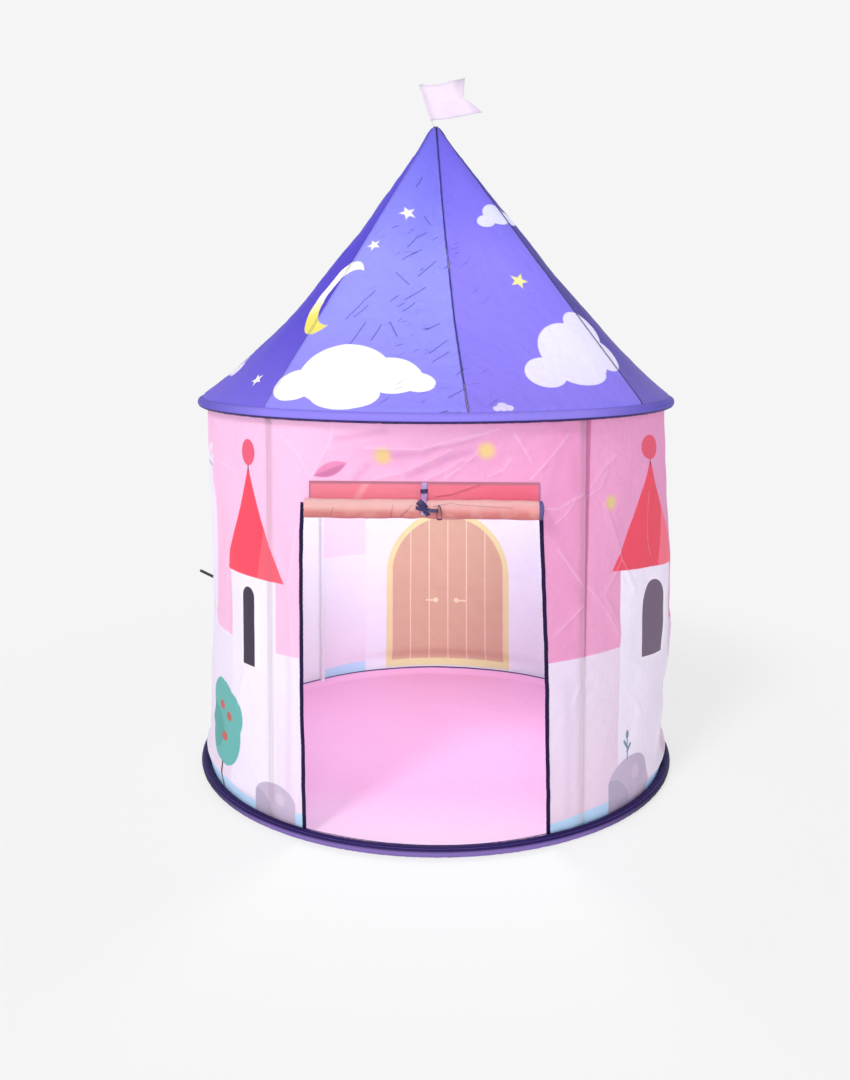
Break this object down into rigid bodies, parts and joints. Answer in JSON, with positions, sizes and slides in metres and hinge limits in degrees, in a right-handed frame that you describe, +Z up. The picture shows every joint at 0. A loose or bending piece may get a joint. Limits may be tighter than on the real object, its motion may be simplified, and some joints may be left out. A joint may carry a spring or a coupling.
{
  "type": "play tent",
  "caption": "Round pop-up play tent for children: cloth wall and pointed roof between spring hoops, roll-up door, flag on top.",
  "frame": {"origin": "on the ground, under the middle of the round floor", "axes": "+Z up to the flag; -Y out through the doorway; +X to the right of someone who looks in at the door"},
  "size_m": [1.07, 1.07, 1.5475],
  "materials": {
    "roof_cloth": "matte",
    "wall_cloth": "matte",
    "floor_cloth": "matte",
    "channel_cloth": "matte",
    "door_tape": "matte",
    "spring_wire": "satin",
    "ferrule_steel": "satin",
    "glass_fibre_rod": "satin",
    "coupler_tube": "satin",
    "sleeve_cloth": "matte",
    "hub_plastic": "satin",
    "door_cloth": "matte",
    "rolled_cloth": "matte",
    "ribbon": "satin",
    "flag_cloth": "matte",
    "elastic": "matte"
  },
  "bodies": {
    "tent": {"floor_mat": "floor_cloth", "floor_hoop": "spring_wire", "floor_hoop_ferrule": "ferrule_steel", "floor_hoop_binding": "channel_cloth", "eave_hoop": "spring_wire", "eave_hoop_ferrule": "ferrule_steel", "eave_hoop_binding": "channel_cloth", "wall_front": "wall_cloth", "wall_right": "wall_cloth", "wall_back": "wall_cloth", "wall_left": "wall_cloth", "door_binding_left": "door_tape", "door_binding_right": "door_tape", "wall_pole_lower_1": "glass_fibre_rod", "wall_pole_lower_2": "glass_fibre_rod", "wall_pole_lower_3": "glass_fibre_rod", "wall_pole_lower_4": "glass_fibre_rod", "wall_pole_upper_1": "glass_fibre_rod", "wall_pole_upper_2": "glass_fibre_rod", "wall_pole_upper_3": "glass_fibre_rod", "wall_pole_upper_4": "glass_fibre_rod", "pole_coupler_1": "coupler_tube", "pole_coupler_2": "coupler_tube", "pole_coupler_3": "coupler_tube", "pole_coupler_4": "coupler_tube", "pole_sleeve_1": "sleeve_cloth", "pole_sleeve_2": "sleeve_cloth", "pole_sleeve_3": "sleeve_cloth", "pole_sleeve_4": "sleeve_cloth", "roof_gore_1": "roof_cloth", "roof_gore_2": "roof_cloth", "roof_gore_3": "roof_cloth", "roof_gore_4": "roof_cloth", "roof_gore_5": "roof_cloth", "roof_gore_6": "roof_cloth", "roof_gore_7": "roof_cloth", "roof_gore_8": "roof_cloth", "roof_rod_lower_1": "glass_fibre_rod", "roof_rod_lower_2": "glass_fibre_rod", "roof_rod_lower_3": "glass_fibre_rod", "roof_rod_lower_4": "glass_fibre_rod", "roof_rod_upper_1": "glass_fibre_rod", "roof_rod_upper_2": "glass_fibre_rod", "roof_rod_upper_3": "glass_fibre_rod", "roof_rod_upper_4": "glass_fibre_rod", "roof_rod_coupler_1": "coupler_tube", "roof_rod_coupler_2": "coupler_tube", "roof_rod_coupler_3": "coupler_tube", "roof_rod_coupler_4": "coupler_tube", "apex_hub": "hub_plastic", "door_tie_inner": "ribbon", "storage_band": "elastic"},
    "door_flap": {"door_curtain": "door_cloth", "door_tie_outer": "ribbon"},
    "door_roll": {"door_roll": "rolled_cloth"},
    "flag_stick": {"flag_stick": "glass_fibre_rod"},
    "flag": {"flag": "flag_cloth"}
  },
  "joints": [
    {"name": "door_swing", "type": "hinge", "parent": "tent", "child": "door_flap", "pos_m": [0, -0.46283, 0.687], "axis": [1, 0, 0], "range_deg": [-85, 0]},
    {"name": "door_lower", "type": "slide", "parent": "door_flap", "child": "door_roll", "axis": [0, 0, -1], "range_m": [0, 0.598], "deforming": ["door_curtain"]},
    {"name": "flag_stick_lift", "type": "slide", "parent": "tent", "child": "flag_stick", "axis": [-0.3256, 0, 0.9455], "range_m": [0, 0.02]},
    {"name": "flag_swivel", "type": "hinge", "parent": "flag_stick", "child": "flag", "pos_m": [0, 0, 1.419], "axis": [-0.3256, 0, 0.9455], "continuous": true}
  ]
}
